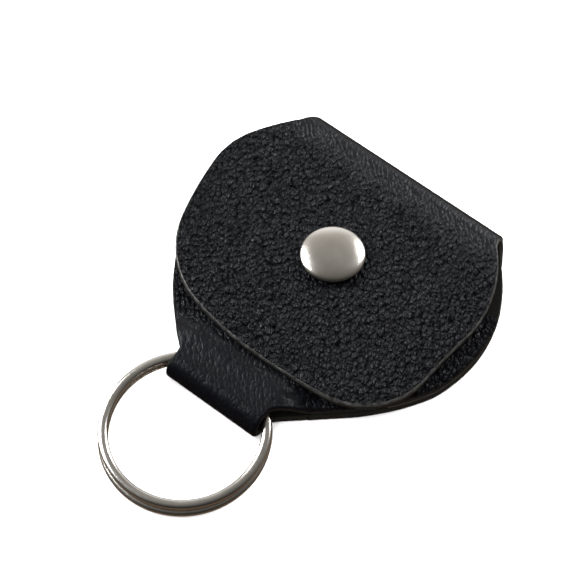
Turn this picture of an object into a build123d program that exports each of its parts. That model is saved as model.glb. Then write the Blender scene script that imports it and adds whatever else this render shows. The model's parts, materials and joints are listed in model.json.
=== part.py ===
"""Leather pick holder: one folded strip of leather, a press stud and a split key ring.

The strip runs flap, fold, back panel, narrow neck folded round the ring, pocket panel.
It is modelled closed, flap on top, lying on its back.  +Y points to the fold, -Y to the ring.
The origin is at the bottom centre of the whole object.  Plan dimensions are measured from
the axis of the press stud, so every sketch plane is placed on that axis.
"""
from build123d import *
from math import cos, radians, sin, tan
import os

# ---- driving dimensions, mm -------------------------------------------------------------

LEATHER = 1.9  # thickness of the strip
SKIVED = 1.6  # thickness of the neck, pared down to fold round the ring
POCKET_GAP = 0.4  # between back panel and pocket panel, filled with glue at the rim
STUD_GAP = 1.7  # between pocket panel and flap, held apart by the press stud

BODY_R = 31.6  # round outline of both panels
BODY_Y = 1.0  # centre of that outline
FLARE = 42.0  # slope of the straight sides that lead from it to the neck, degrees
FOLD_AXIS_Y = 21.7  # centre line of the bend between back panel and flap
FOLD_WAIST = 22.5  # half width of the strip on the outermost line of the bend
MOUTH_Y = 10.0  # ends of the pocket's mouth, which dips a little in the middle
MOUTH_DIP = 1.4
ROOT_Y = -27.5  # where the panels end and the flexing root of the neck begins
LOOP_Y = -32.5  # where that root ends and the stiff loop begins
NECK_HALF = 10.4  # half width of the neck
BEND_Y = -34.1  # centre line of the bend round the ring
CHANNEL = 3.05  # height of the space for the ring inside the loop

RING_R = 16.0  # outside of the split ring
RING_WIDTH = 1.9  # wire, across the ring
RING_WIRE = 1.35  # wire, along the ring's axis
RING_TURN_GAP = 0.04  # between the two turns
RING_Y = -44.1  # centre of the ring
RING_TILT = 3.7  # it leans down from the loop to the table, degrees
RING_CORNER = 0.42  # rounding of the wire
JOG = 36.0  # angle over which the wire steps from the lower turn to the upper
END_GAP = 1.5  # angle left free at each cut end of the wire

CAP_R = 6.25  # cap of the press stud
CAP_RIM = 0.95  # height of its straight side
CAP_HEIGHT = 1.9  # whole height of the cap above the flap
SHEET_METAL = 0.35

# ---- levels and places worked out from them ------------------------------------------------

POCKET_Z = LEATHER + POCKET_GAP  # underside of the pocket panel
POCKET_TOP = POCKET_Z + LEATHER
FLAP_Z = POCKET_TOP + STUD_GAP  # underside of the flap
FLAP_TOP = FLAP_Z + LEATHER
FOLD_R = FLAP_TOP / 2  # outside radius of the fold
FOLD_INNER_R = FOLD_R - LEATHER
LOOP_R = CHANNEL / 2 + SKIVED  # outside radius of the loop
RING_STACK = 2 * RING_WIRE + RING_TURN_GAP
TILT = radians(RING_TILT)
RING_Z = RING_R * sin(TILT) + RING_STACK / 2 * cos(TILT)  # its far edge touches the table
RING_REACH = RING_Y - RING_R * cos(TILT) - RING_STACK / 2 * sin(TILT)
STUD_Y = -(FOLD_AXIS_Y + FOLD_R + RING_REACH) / 2  # puts the origin at the middle


def half_chord(y):
    """Half width of the round outline at distance y from the stud."""
    return (BODY_R**2 - (y - BODY_Y) ** 2) ** 0.5


FOLD_HALF = half_chord(FOLD_AXIS_Y)  # half width of the strip where the bend begins
FLARE_X = BODY_R * sin(radians(FLARE))
FLARE_Y = BODY_Y - BODY_R * cos(radians(FLARE))  # where the straight sides leave the round outline
ROOT_HALF = FLARE_X - (FLARE_Y - ROOT_Y) / tan(radians(FLARE))
SIDE_MIDDLE = (half_chord(-10.0), -10.0)  # a point on the round side of both panels

STUD_AXIS = Axis((0, STUD_Y, 0), (0, 0, 1))
SIDE = Plane((0, STUD_Y, 0), x_dir=(0, 1, 0), z_dir=(1, 0, 0))  # local x is Y, local y is Z
FRONT = Plane((0, STUD_Y, 0), x_dir=(1, 0, 0), z_dir=(0, -1, 0))  # local y is Z
RING_PLANE = Plane((0, STUD_Y + RING_Y, RING_Z), x_dir=(1, 0, 0), z_dir=(0, -sin(TILT), cos(TILT)))


def level(z):
    """Horizontal sketch plane centred on the stud's axis."""
    return Plane((0, STUD_Y, z))


# ---- back panel: round sheet lying on the table, straight at the fold and at the neck -----------

with BuildPart() as back_panel:
    with BuildSketch(level(0)):
        with BuildLine():
            fold_edge = Line((0, FOLD_AXIS_Y), (FOLD_HALF, FOLD_AXIS_Y))
            back_side = ThreePointArc(fold_edge @ 1, SIDE_MIDDLE, (FLARE_X, FLARE_Y))
            Polyline(back_side @ 1, (ROOT_HALF, ROOT_Y), (0, ROOT_Y))
            mirror(about=Plane.YZ)
        make_face()
    extrude(amount=LEATHER)

# ---- front layer of the neck and pocket: a sheet that climbs over the ring ----------------------

CLIMB_Y = -17.0  # where the pocket panel starts to rise
SLOPE = (-25.1, 3.6)  # a point on the underside halfway up
SLOPE_TOP = (-25.3, 5.35)  # the top surface above it
CREST_Y = -28.6
CREST_Z = 5.05  # underside of the sheet over the ring
CREST_TOP = 6.8
LOOP_Z = SKIVED + CHANNEL  # underside of the loop's front leg


def front_sheet():
    """Lengthwise section of the front layer, from the pocket's mouth to the loop."""
    with BuildSketch(SIDE) as section:
        with BuildLine():
            flat = Line((MOUTH_Y, POCKET_Z), (CLIMB_Y, POCKET_Z))
            rise = Spline(flat @ 1, SLOPE, (CREST_Y, CREST_Z), (LOOP_Y, LOOP_Z), tangents=[(-1, 0), (-1, 0)])
            end = Line(rise @ 1, (LOOP_Y, 2 * LOOP_R))
            fall = Spline(
                end @ 1, (CREST_Y, CREST_TOP), SLOPE_TOP, (CLIMB_Y, POCKET_TOP), tangents=[(1, 0), (1, 0)]
            )
            Polyline(fall @ 1, (MOUTH_Y, POCKET_TOP), flat @ 0)
        make_face()
    return section.sketch


RIVET_R = 1.55  # tube of the stud's rivet
with BuildPart() as pocket_panel:
    extrude(front_sheet(), amount=BODY_R, both=True)
    with BuildSketch(level(0)):
        with BuildLine():
            mouth = TangentArc((0, MOUTH_Y - MOUTH_DIP), (half_chord(MOUTH_Y), MOUTH_Y), tangent=(1, 0))
            pocket_side = ThreePointArc(mouth @ 1, SIDE_MIDDLE, (FLARE_X, FLARE_Y))
            Polyline(pocket_side @ 1, (ROOT_HALF, ROOT_Y), (0, ROOT_Y))
            mirror(about=Plane.YZ)
        make_face()
    extrude(amount=2 * FLAP_TOP, mode=Mode.INTERSECT)
    with BuildSketch(level(0)):
        Circle(RIVET_R + 0.05)
    extrude(amount=FLAP_TOP, mode=Mode.SUBTRACT)

# ---- root of the neck: two flexing layers with curved shoulders ---------------------------------


SHOULDER_Y = FLARE_Y - (FLARE_X - NECK_HALF) * tan(radians(FLARE))  # where the straight sides meet the neck


def root_outline():
    """Plan of the neck's root, from the panels' width down to the neck's width."""
    with BuildSketch(level(0)) as outline:
        with BuildLine():
            flare = Polyline((0, ROOT_Y), (ROOT_HALF, ROOT_Y), (NECK_HALF, SHOULDER_Y))
            Polyline(flare @ 1, (NECK_HALF, LOOP_Y), (0, LOOP_Y))
            mirror(about=Plane.YZ)
        make_face()
    return outline.sketch


with BuildPart() as loop_root_back:
    with BuildSketch(SIDE):
        with BuildLine():
            Polyline((ROOT_Y, 0), (ROOT_Y, LEATHER), (LOOP_Y, SKIVED), (LOOP_Y, 0), close=True)
        make_face()
    extrude(amount=BODY_R, both=True)
    extrude(root_outline(), amount=FLAP_TOP, mode=Mode.INTERSECT)

with BuildPart() as loop_root_front:
    extrude(front_sheet(), amount=BODY_R, both=True)
    extrude(root_outline(), amount=2 * FLAP_TOP, mode=Mode.INTERSECT)

# ---- loop: the neck's end folded round the ring -------------------------------------------------

with BuildPart() as ring_loop:
    with BuildSketch(SIDE):
        with BuildLine():
            lower = Polyline((BEND_Y, SKIVED), (LOOP_Y, SKIVED), (LOOP_Y, 0), (BEND_Y, 0))
            outside = ThreePointArc(lower @ 1, (BEND_Y - LOOP_R, LOOP_R), (BEND_Y, 2 * LOOP_R))
            upper = Polyline(outside @ 1, (LOOP_Y, 2 * LOOP_R), (LOOP_Y, LOOP_Z), (BEND_Y, LOOP_Z))
            ThreePointArc(upper @ 1, (BEND_Y - CHANNEL / 2, LOOP_R), lower @ 0)
        make_face()
    extrude(amount=NECK_HALF, both=True)

# ---- seam glue: a band round the pocket's rim ---------------------------------------------------

GLUE_WIDTH = 2.6
with BuildPart() as seam_glue:
    with BuildSketch(level(LEATHER)):
        with Locations((0, BODY_Y)):
            Circle(BODY_R - 0.1)
            Circle(BODY_R - GLUE_WIDTH, mode=Mode.SUBTRACT)
        with Locations((0, (MOUTH_Y + CLIMB_Y) / 2)):  # it stops where the front layer starts to climb
            Rectangle(2 * BODY_R, MOUTH_Y - CLIMB_Y, mode=Mode.INTERSECT)
    extrude(amount=POCKET_GAP)

# ---- fold: the strip's bend, which unrolls as the flap opens ------------------------------------

SPINE_ANGLE = 25.0  # half angle of the middle of the bend, which keeps its shape


def bend_section(first, last):
    """Section of the fold between two angles, 0 pointing along +Y and 90 up."""

    def at(radius, angle):
        turn = radians(angle)
        return (FOLD_AXIS_Y + radius * cos(turn), FOLD_R + radius * sin(turn))

    middle = (first + last) / 2
    with BuildSketch(SIDE) as section:
        with BuildLine():
            outside = ThreePointArc(at(FOLD_R, first), at(FOLD_R, middle), at(FOLD_R, last))
            inside = ThreePointArc(at(FOLD_INNER_R, last), at(FOLD_INNER_R, middle), at(FOLD_INNER_R, first))
            Line(outside @ 1, inside @ 0)
            Line(inside @ 1, outside @ 0)
        make_face()
    return section.sketch


def fold_plan():
    """Plan of the bend, a little narrower on its outermost line."""
    outer_y = FOLD_AXIS_Y + FOLD_R
    with BuildSketch(level(0)) as outline:
        with BuildLine():
            Polyline((0, FOLD_AXIS_Y), (FOLD_HALF, FOLD_AXIS_Y), (FOLD_WAIST, outer_y), (0, outer_y))
            mirror(about=Plane.YZ)
        make_face()
    return outline.sketch


with BuildPart() as fold_bend_back:
    extrude(bend_section(-90, -SPINE_ANGLE), amount=FOLD_HALF, both=True)
    extrude(fold_plan(), amount=FLAP_TOP, mode=Mode.INTERSECT)

with BuildPart() as fold_spine:
    extrude(bend_section(-SPINE_ANGLE, SPINE_ANGLE), amount=FOLD_HALF, both=True)
    extrude(fold_plan(), amount=FLAP_TOP, mode=Mode.INTERSECT)

with BuildPart() as fold_bend_flap:
    extrude(bend_section(SPINE_ANGLE, 90), amount=FOLD_HALF, both=True)
    extrude(fold_plan(), amount=FLAP_TOP, mode=Mode.INTERSECT)

# ---- flap: rounded lid with a hole for the cap's rivet ------------------------------------------

FLAP_TIP_Y = -25.5
FLAP_WIDE = (31.0, 2.0)  # widest point of the flap
FLAP_CORNER = (28.9, -10.0)  # where the round corner runs into the side
FLAP_BASE = (14.0, -24.0)  # where the flat end runs into the round corner
CAP_TUBE_R = 2.85  # outside of the cap's hollow rivet
CLEAR = 0.05
with BuildPart() as flap:
    with BuildSketch(level(FLAP_Z)):
        with BuildLine():
            tip = TangentArc((0, FLAP_TIP_Y), FLAP_BASE, tangent=(1, 0))
            corner = TangentArc(tip @ 1, FLAP_CORNER, tangent=tip % 1)
            edge = TangentArc(corner @ 1, FLAP_WIDE, tangent=corner % 1)
            TangentArc(edge @ 1, (FOLD_HALF, FOLD_AXIS_Y), tangent=edge % 1)
            Line((FOLD_HALF, FOLD_AXIS_Y), (0, FOLD_AXIS_Y))
            mirror(about=Plane.YZ)
        make_face()
        Circle(CAP_TUBE_R + CLEAR, mode=Mode.SUBTRACT)
    extrude(amount=LEATHER)

# ---- press stud, lower half: stud and its rivet through the pocket panel ------------------------

STUD_BASE_R = 4.8
STUD_SHEET = 0.25
STUD_NECK_R = 1.95
STUD_HEAD_R = 2.2
STUD_BORE_R = 1.6
STUD_FLANGE_Z = POCKET_TOP + 0.5
STUD_NECK_Z = FLAP_Z - 0.4
STUD_TOP_Z = FLAP_Z + 0.45

with BuildPart() as stud:
    with BuildSketch(FRONT):
        with BuildLine():
            Polyline(
                (STUD_BORE_R, POCKET_TOP), (STUD_BASE_R, POCKET_TOP), (STUD_BASE_R, POCKET_TOP + STUD_SHEET),
                (STUD_BASE_R - 0.5, STUD_FLANGE_Z), (STUD_NECK_R, STUD_FLANGE_Z), (STUD_NECK_R, STUD_NECK_Z),
                (STUD_HEAD_R, STUD_NECK_Z + STUD_SHEET), (STUD_HEAD_R, STUD_TOP_Z - STUD_SHEET),
                (STUD_NECK_R - STUD_SHEET, STUD_TOP_Z), (STUD_BORE_R, STUD_TOP_Z), close=True,
            )
        make_face()
    revolve(axis=STUD_AXIS)

RIVET_FLANGE_R = 4.2
with BuildPart() as stud_rivet:
    with BuildSketch(FRONT):
        with BuildLine():
            Polyline(
                (RIVET_R - SHEET_METAL, POCKET_Z - SHEET_METAL), (RIVET_FLANGE_R, POCKET_Z - SHEET_METAL),
                (RIVET_FLANGE_R, POCKET_Z), (RIVET_R, POCKET_Z), (RIVET_R, STUD_TOP_Z),
                (RIVET_R - SHEET_METAL, STUD_TOP_Z), close=True,
            )
        make_face()
    revolve(axis=STUD_AXIS)

# ---- press stud, upper half: socket, spring, rivet and cap --------------------------------------

SOCKET_HOLE_R = 2.45
SOCKET_R = 4.3
SOCKET_FLANGE_R = 5.2
SOCKET_Z = POCKET_TOP + 0.65  # lower face, just clear of the stud's flange
SPRING_ROOM_R = 3.65
SPRING_FLOOR = SOCKET_Z + 0.25
SPRING_ROOF = FLAP_Z - 0.25

with BuildPart() as socket:
    with BuildSketch(FRONT):
        with BuildLine():
            Polyline(
                (SOCKET_HOLE_R, SOCKET_Z), (SOCKET_R - 0.3, SOCKET_Z), (SOCKET_R, SOCKET_Z + 0.3),
                (SOCKET_R, SPRING_ROOF), (SOCKET_FLANGE_R, SPRING_ROOF), (SOCKET_FLANGE_R, FLAP_Z),
                (CAP_TUBE_R + CLEAR, FLAP_Z), (CAP_TUBE_R + CLEAR, SPRING_ROOF), (SPRING_ROOM_R, SPRING_ROOF),
                (SPRING_ROOM_R, SPRING_FLOOR), (SOCKET_HOLE_R, SPRING_FLOOR), close=True,
            )
        make_face()
    revolve(axis=STUD_AXIS)

SPRING_WIRE_R = 0.17
SPRING_ARM_X = STUD_NECK_R + SPRING_WIRE_R + 0.05
SPRING_Z = SPRING_FLOOR + SPRING_WIRE_R + 0.03
SPRING_BACK_Y = 1.0
SPRING_FRONT_Y = -2.3
with BuildPart() as socket_spring:
    with BuildLine(level(SPRING_Z)) as spring_path:
        left_arm = Line((-SPRING_ARM_X, SPRING_FRONT_Y), (-SPRING_ARM_X, SPRING_BACK_Y))
        back = ThreePointArc(left_arm @ 1, (0, SPRING_BACK_Y + SPRING_ARM_X), (SPRING_ARM_X, SPRING_BACK_Y))
        Line(back @ 1, (SPRING_ARM_X, SPRING_FRONT_Y))
    with BuildSketch(Plane((-SPRING_ARM_X, STUD_Y + SPRING_FRONT_Y, SPRING_Z), z_dir=(0, 1, 0))):
        Circle(SPRING_WIRE_R)
    sweep()

CAP_FLANGE_R = CAP_R - SHEET_METAL - CLEAR
CAP_FLANGE_Z = FLAP_TOP + SHEET_METAL
with BuildPart() as cap_rivet:
    with BuildSketch(FRONT):
        with BuildLine():
            Polyline(
                (SOCKET_HOLE_R + CLEAR, SPRING_ROOF - 0.15), (CAP_TUBE_R + 0.35, SPRING_ROOF - 0.15),
                (CAP_TUBE_R + 0.35, SPRING_ROOF), (CAP_TUBE_R, SPRING_ROOF), (CAP_TUBE_R, CAP_FLANGE_Z),
                (CAP_FLANGE_R, CAP_FLANGE_Z), (CAP_FLANGE_R, CAP_FLANGE_Z + SHEET_METAL),
                (SOCKET_HOLE_R + CLEAR, CAP_FLANGE_Z + SHEET_METAL), close=True,
            )
        make_face()
    revolve(axis=STUD_AXIS)

with BuildPart() as cap:
    with BuildSketch(FRONT):
        with BuildLine():
            lip = Line((CAP_R - 1.1, FLAP_TOP), (CAP_R - 0.45, FLAP_TOP))
            rolled = TangentArc(lip @ 1, (CAP_R, FLAP_TOP + 0.45), tangent=(1, 0))
            side = Line(rolled @ 1, (CAP_R, FLAP_TOP + CAP_RIM))
            shoulder = TangentArc(side @ 1, (CAP_R - 0.5, FLAP_TOP + CAP_RIM + 0.4), tangent=(0, 1))
            crown = TangentArc((0, FLAP_TOP + CAP_HEIGHT), shoulder @ 1, tangent=(1, 0))
            Line(crown @ 0, (0, FLAP_TOP + CAP_HEIGHT - SHEET_METAL))
            inner_edge = (CAP_R - 0.8, FLAP_TOP + CAP_RIM + 0.1)
            inner_crown = TangentArc((0, FLAP_TOP + CAP_HEIGHT - SHEET_METAL), inner_edge, tangent=(1, 0))
            Polyline(
                inner_crown @ 1, (CAP_R - SHEET_METAL, FLAP_TOP + CAP_RIM - 0.2),
                (CAP_R - SHEET_METAL, CAP_FLANGE_Z), (CAP_R - 1.1, CAP_FLANGE_Z), lip @ 0,
            )
        make_face()
    revolve(axis=STUD_AXIS)

# ---- split ring: two turns of flat wire, one on the other, joined by a step ---------------------

TURN_RISE = RING_WIRE + RING_TURN_GAP
STEP_START = 90 - JOG / 2  # the step lies inside the loop
STEPS = 6
WIRE_X = RING_R - RING_WIDTH / 2
RING_AXIS = Axis(RING_PLANE.origin, RING_PLANE.z_dir)


def wire_plane(angle, rise):
    """Plane across the wire at an angle round the ring, at a height above its middle."""
    turn = radians(angle)
    radial = RING_PLANE.x_dir * cos(turn) + RING_PLANE.y_dir * sin(turn)
    along = RING_PLANE.y_dir * cos(turn) - RING_PLANE.x_dir * sin(turn)
    centre = RING_PLANE.origin + radial * WIRE_X + RING_PLANE.z_dir * rise
    return Plane(centre, x_dir=radial, z_dir=along)


def ease(share):
    """Smooth step from -1 to 1, level at both ends."""
    return 2 * share**2 * (3 - 2 * share) - 1


with BuildPart() as split_ring:
    for start, rise in ((STEP_START + JOG + END_GAP, -TURN_RISE / 2), (STEP_START + JOG, TURN_RISE / 2)):
        with BuildSketch(wire_plane(start, rise)):
            RectangleRounded(RING_WIDTH, RING_WIRE, RING_CORNER)
        revolve(axis=RING_AXIS, revolution_arc=360 - JOG - END_GAP)
    for step in range(STEPS + 1):
        share = step / STEPS
        with BuildSketch(wire_plane(STEP_START + JOG * share, TURN_RISE / 2 * ease(share))):
            RectangleRounded(RING_WIDTH, RING_WIRE, RING_CORNER)
    loft()

# ---- labels and files ---------------------------------------------------------------------------

PIECES = {
    "back_panel": back_panel,
    "pocket_panel": pocket_panel,
    "loop_root_back": loop_root_back,
    "loop_root_front": loop_root_front,
    "ring_loop": ring_loop,
    "seam_glue": seam_glue,
    "fold_bend_back": fold_bend_back,
    "fold_spine": fold_spine,
    "fold_bend_flap": fold_bend_flap,
    "flap": flap,
    "stud": stud,
    "stud_rivet": stud_rivet,
    "socket": socket,
    "socket_spring": socket_spring,
    "cap_rivet": cap_rivet,
    "cap": cap,
    "split_ring": split_ring,
}

os.makedirs("parts", exist_ok=True)
for name, piece in PIECES.items():
    piece.part.label = name
    export_step(piece.part, f"parts/{name}.step")
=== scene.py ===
"""Pick holder: pebbled leather pouch with a press stud and a split key ring, closed, lying on its back."""
import json
import math

import bmesh
import bpy
import numpy as np
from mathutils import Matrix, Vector
from mathutils.geometry import delaunay_2d_cdt


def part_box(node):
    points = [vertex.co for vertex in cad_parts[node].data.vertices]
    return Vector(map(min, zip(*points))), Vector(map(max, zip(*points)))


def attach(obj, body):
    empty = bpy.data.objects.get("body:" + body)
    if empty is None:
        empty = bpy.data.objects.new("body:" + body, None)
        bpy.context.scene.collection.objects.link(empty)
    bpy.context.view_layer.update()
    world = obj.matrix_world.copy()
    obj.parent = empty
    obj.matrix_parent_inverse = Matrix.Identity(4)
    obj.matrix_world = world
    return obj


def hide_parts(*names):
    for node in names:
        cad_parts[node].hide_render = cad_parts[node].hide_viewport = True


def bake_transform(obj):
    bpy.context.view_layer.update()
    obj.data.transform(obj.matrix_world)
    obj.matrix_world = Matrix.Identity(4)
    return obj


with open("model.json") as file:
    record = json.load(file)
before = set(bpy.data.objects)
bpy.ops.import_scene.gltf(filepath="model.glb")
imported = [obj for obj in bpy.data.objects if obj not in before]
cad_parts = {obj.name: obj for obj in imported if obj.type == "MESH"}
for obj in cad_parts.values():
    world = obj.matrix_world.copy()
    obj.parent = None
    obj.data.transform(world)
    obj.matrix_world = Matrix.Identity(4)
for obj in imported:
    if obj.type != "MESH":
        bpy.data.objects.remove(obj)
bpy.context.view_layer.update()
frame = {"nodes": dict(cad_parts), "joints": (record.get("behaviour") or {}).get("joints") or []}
MM = 0.001

# ---- places in millimetres, read from the frame where it holds them ------------------------------


def box_mm(node):
    """Lowest and highest corner of a CAD node, in millimetres."""
    low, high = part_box(node)
    return low / MM, high / MM


flap_low, flap_high = box_mm("flap")
back_low, back_high = box_mm("back_panel")
pocket_low, pocket_high = box_mm("pocket_panel")
loop_low, loop_high = box_mm("ring_loop")
cap_low, cap_high = box_mm("cap")
joints = {joint["name"]: joint for joint in frame["joints"]}

STUD_Y = (cap_low.y + cap_high.y) / 2
FLAP_TOP = flap_high.z
FOLD_Y = flap_high.y  # centre line of the fold
FOLD_R = FLAP_TOP / 2
FOLD_HALF = box_mm("fold_bend_flap")[1].x  # half width of the strip where the fold begins
FOLD_WAIST = 22.5  # half width on the outermost line of the fold
LEATHER = back_high.z
BODY_R = back_high.x
BODY_Y = FOLD_Y - math.sqrt(BODY_R**2 - FOLD_HALF**2)
ROOT_Y = back_low.y  # where the panels end and the neck begins
LOOP_Y = loop_high.y  # where the stiff loop begins
NECK_HALF = loop_high.x
LOOP_R = loop_high.z / 2
SKIVED = 1.6  # thickness of the leather pared down at the loop
BEND_Y = loop_low.y + LOOP_R
POCKET_Z = pocket_low.z
MOUTH_Y = pocket_high.y
MOUTH_DIP = 1.4  # how far the pocket's mouth curves down in the middle
FLARE = math.radians(42)  # slope of the straight sides between the round outline and the neck
FLARE_X = BODY_R * math.sin(FLARE)
FLARE_Y = BODY_Y - BODY_R * math.cos(FLARE)
CLIMB_Y = STUD_Y - 17.0  # where the pocket panel starts to rise over the ring
CREST_Y = STUD_Y - 28.6  # and where it is highest
CREST_Z = 5.0

# ---- small helpers --------------------------------------------------------------------------------


def new_piece(name, data):
    """A scene object of that name with that mesh, light or camera."""
    piece = bpy.data.objects.new(name, data)
    bpy.context.scene.collection.objects.link(piece)
    return piece


def smooth(x, low, high):
    """Smooth step of x from 0 at low to 1 at high."""
    t = np.clip((x - low) / (high - low), 0, 1)
    return t * t * (3 - 2 * t)


RANDOM = np.random.default_rng(7).random((256, 256, 3))
CELL_SCATTER = 0.8  # share of its square that a cell's middle may lie in
FAR = 9.0  # further than any distance that counts


def soft_noise(p, size, layer):
    """Noise from -1 to 1 over the plane, with features of about that size in mm."""
    q = p / size + 31.7 * (layer + 1)
    base = np.floor(q).astype(int)
    f = q - base
    f = f * f * (3 - 2 * f)

    def corner(dx, dy):
        return RANDOM[(base[:, 0] + dx) % 256, (base[:, 1] + dy) % 256, layer % 3]

    low = corner(0, 0) * (1 - f[:, 0]) + corner(1, 0) * f[:, 0]
    high = corner(0, 1) * (1 - f[:, 0]) + corner(1, 1) * f[:, 0]
    return 2 * (low * (1 - f[:, 1]) + high * f[:, 1]) - 1


def cells(p, size, layer):
    """Scattered cells of about that size: distance to the next cell, and the cell's tilt and level."""
    q = p / size + 57.3 * (layer + 1)
    base = np.floor(q).astype(int)
    first = np.full(len(q), FAR)
    second = np.full(len(q), FAR)
    level = np.zeros(len(q))
    tilt = np.zeros(len(q))
    for dx in (-1, 0, 1):
        for dy in (-1, 0, 1):
            cell = base + (dx, dy)
            scatter = RANDOM[cell[:, 0] % 256, cell[:, 1] % 256]
            offset = q - cell - (1 - CELL_SCATTER) / 2 - CELL_SCATTER * scatter[:, :2]
            d = np.hypot(*offset.T)
            nearer = d < first
            second = np.where(nearer, first, np.minimum(second, d))
            level = np.where(nearer, scatter[:, 2] - 0.5, level)
            lean = 2 * math.pi * 7 * scatter[:, 2]
            slope = (offset[:, 0] * np.cos(lean) + offset[:, 1] * np.sin(lean)) * size
            tilt = np.where(nearer, slope, tilt)
            first = np.where(nearer, d, first)
    return (second - first) * size, tilt, level


# ---- section of the leather strip along its length -----------------------------------------------

STEP = 0.05  # spacing of the section's points


def line_points(start, end):
    """Points from start to end, without the end."""
    share = np.linspace(0, 1, max(2, int(math.dist(start, end) / STEP)), endpoint=False)[:, None]
    return np.array(start) * (1 - share) + np.array(end) * share


def arc_points(centre, radius, first, last):
    """Points on an arc between two angles in degrees, without the last."""
    count = int(abs(math.radians(last - first)) * radius / STEP)
    turn = np.radians(np.linspace(first, last, count, endpoint=False))
    return np.stack([centre[0] + radius * np.cos(turn), centre[1] + radius * np.sin(turn)], 1)


def front_points():
    """Flesh side of the front layer: up over the ring, then down and flat to the pocket's mouth."""
    y = np.arange(LOOP_Y, MOUTH_Y + 1, STEP)
    loop_z = 2 * LOOP_R - SKIVED
    z = POCKET_Z + (CREST_Z - POCKET_Z) * smooth(-y, -CLIMB_Y, -CREST_Y)
    z -= (CREST_Z - loop_z) * smooth(-y, -CREST_Y, -LOOP_Y)
    return np.stack([y, z], 1)


SECTIONS = {
    "flap": line_points((flap_low.y - 1, FLAP_TOP - LEATHER), (FOLD_Y, FLAP_TOP - LEATHER)),
    "fold": arc_points((FOLD_Y, FOLD_R), FOLD_R - LEATHER, 90, -90),
    "back": line_points((FOLD_Y, LEATHER), (ROOT_Y, LEATHER)),
    "root": line_points((ROOT_Y, LEATHER), (LOOP_Y, SKIVED)),
    "lower_leg": line_points((LOOP_Y, SKIVED), (BEND_Y, SKIVED)),
    "bend": arc_points((BEND_Y, LOOP_R), LOOP_R - SKIVED, 270, 90),
    "upper_leg": line_points((BEND_Y, 2 * LOOP_R - SKIVED), (LOOP_Y, 2 * LOOP_R - SKIVED)),
    "front": front_points(),
}


def strip_section():
    """Flesh side (y, z), outward normal, thickness and flat length s, and where each part starts."""
    flesh = np.vstack(list(SECTIONS.values()))
    along = np.gradient(flesh, axis=0)
    along /= np.linalg.norm(along, axis=1)[:, None]
    out = np.stack([-along[:, 1], along[:, 0]], 1)
    names = np.repeat(list(SECTIONS), [len(points) for points in SECTIONS.values()])
    y = flesh[:, 0]
    pared = np.isin(names, ["root", "lower_leg", "bend", "upper_leg", "front"])
    thick = np.where(pared, SKIVED + (LEATHER - SKIVED) * smooth(y, LOOP_Y, CLIMB_Y), LEATHER)
    root = names == "root"
    thick[root] = flesh[root, 1]
    middle = flesh + out * thick[:, None] / 2
    s = np.concatenate([[0], np.cumsum(np.linalg.norm(np.diff(middle, axis=0), axis=1))]) + y[0]
    starts = {name: s[np.argmax(names == name)] for name in SECTIONS}
    return flesh, out, thick, s, starts


FLESH, OUT, THICK, FLAT_S, START = strip_section()
FOLD_MID = (START["fold"] + START["back"]) / 2  # the outermost line of the fold


def front_s(y):
    """Flat length at a place on the front layer."""
    front = FLAT_S >= START["front"]
    return np.interp(y, FLESH[front, 0], FLAT_S[front])


def back_s(y):
    """Flat length at a place on the back panel or the neck's root."""
    return START["back"] + FOLD_Y - y


# ---- outlines of the leather pieces, as (x, s) on the flat strip ------------------------------------

FINE = 0.21  # spacing of the grain side's mesh
COARSE = 1.1  # spacing of the flesh side's mesh
SKEW = 0.018  # the strip is folded a little askew: rise in y for each mm towards -X
NECK_CORNER = 0.2  # softness of the corners between panels and neck

# sideways shift of the panels' right and left sides, by the distance along the strip from the fold
SHIFT_PLACE = (0.0, 3.6, 13.6, 23.6, 35.6, 40.0, 44.6, 50.6, 55.0, 58.0, 60.0)
SHIFT_RIGHT = (0.0, 1.0, 1.4, 1.4, 1.2, 0.6, 0.1, 0.0, 0.0, 0.0, 0.0)
SHIFT_LEFT = (0.0, 0.3, 0.9, 1.2, 1.6, 1.5, 0.7, -0.4, -0.8, -0.4, 0.0)

# corners of the flap's outline between its tip and the fold, from the stud's axis, on both sides
FLAP_RIGHT = ((16.5, -24.2), (29.2, -9.8), (30.0, 2.0), (23.2, 21.7))
FLAP_LEFT = ((14.3, -23.8), (28.8, -10.5), (32.1, 3.0), (30.5, 13.0), (24.6, 21.7))


def even(points):
    """The same line in evenly spaced points, without its end."""
    points = np.array(points, float)
    length = np.concatenate([[0], np.cumsum(np.hypot(*np.diff(points, axis=0).T))])
    place = np.linspace(0, length[-1], max(1, round(length[-1] / FINE)), endpoint=False)
    return np.stack([np.interp(place, length, points[:, i]) for i in (0, 1)], 1)


def tangent_arc(start, heading, end):
    """Points on the arc that leaves start along heading and reaches end, and the heading there."""
    start, chord = np.array(start, float), np.subtract(end, start)
    lean = math.atan2(heading[0] * chord[1] - heading[1] * chord[0], np.dot(heading, chord))
    radius = np.hypot(*chord) / (2 * math.sin(lean))
    arm = np.array([heading[1], -heading[0]]) * radius
    turn = np.linspace(0, 2 * lean, 60)[:, None]
    points = start - arm + arm * np.cos(turn) + np.array([-arm[1], arm[0]]) * np.sin(turn)
    c, d = math.cos(2 * lean), math.sin(2 * lean)
    return points, (heading[0] * c - heading[1] * d, heading[0] * d + heading[1] * c)


def closed(right, left=None):
    """A closed outline from its right side and, mirrored, its left side, each from axis to axis."""
    left = right if left is None else left
    return np.vstack([right, left[1:-1][::-1] * (-1, 1)])


def waist(s):
    """Half width of the strip across the fold."""
    share = np.sin(np.pi * np.clip((s - START["fold"]) / (START["back"] - START["fold"]), 0, 1))
    return FOLD_HALF - (FOLD_HALF - FOLD_WAIST) * share


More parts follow.
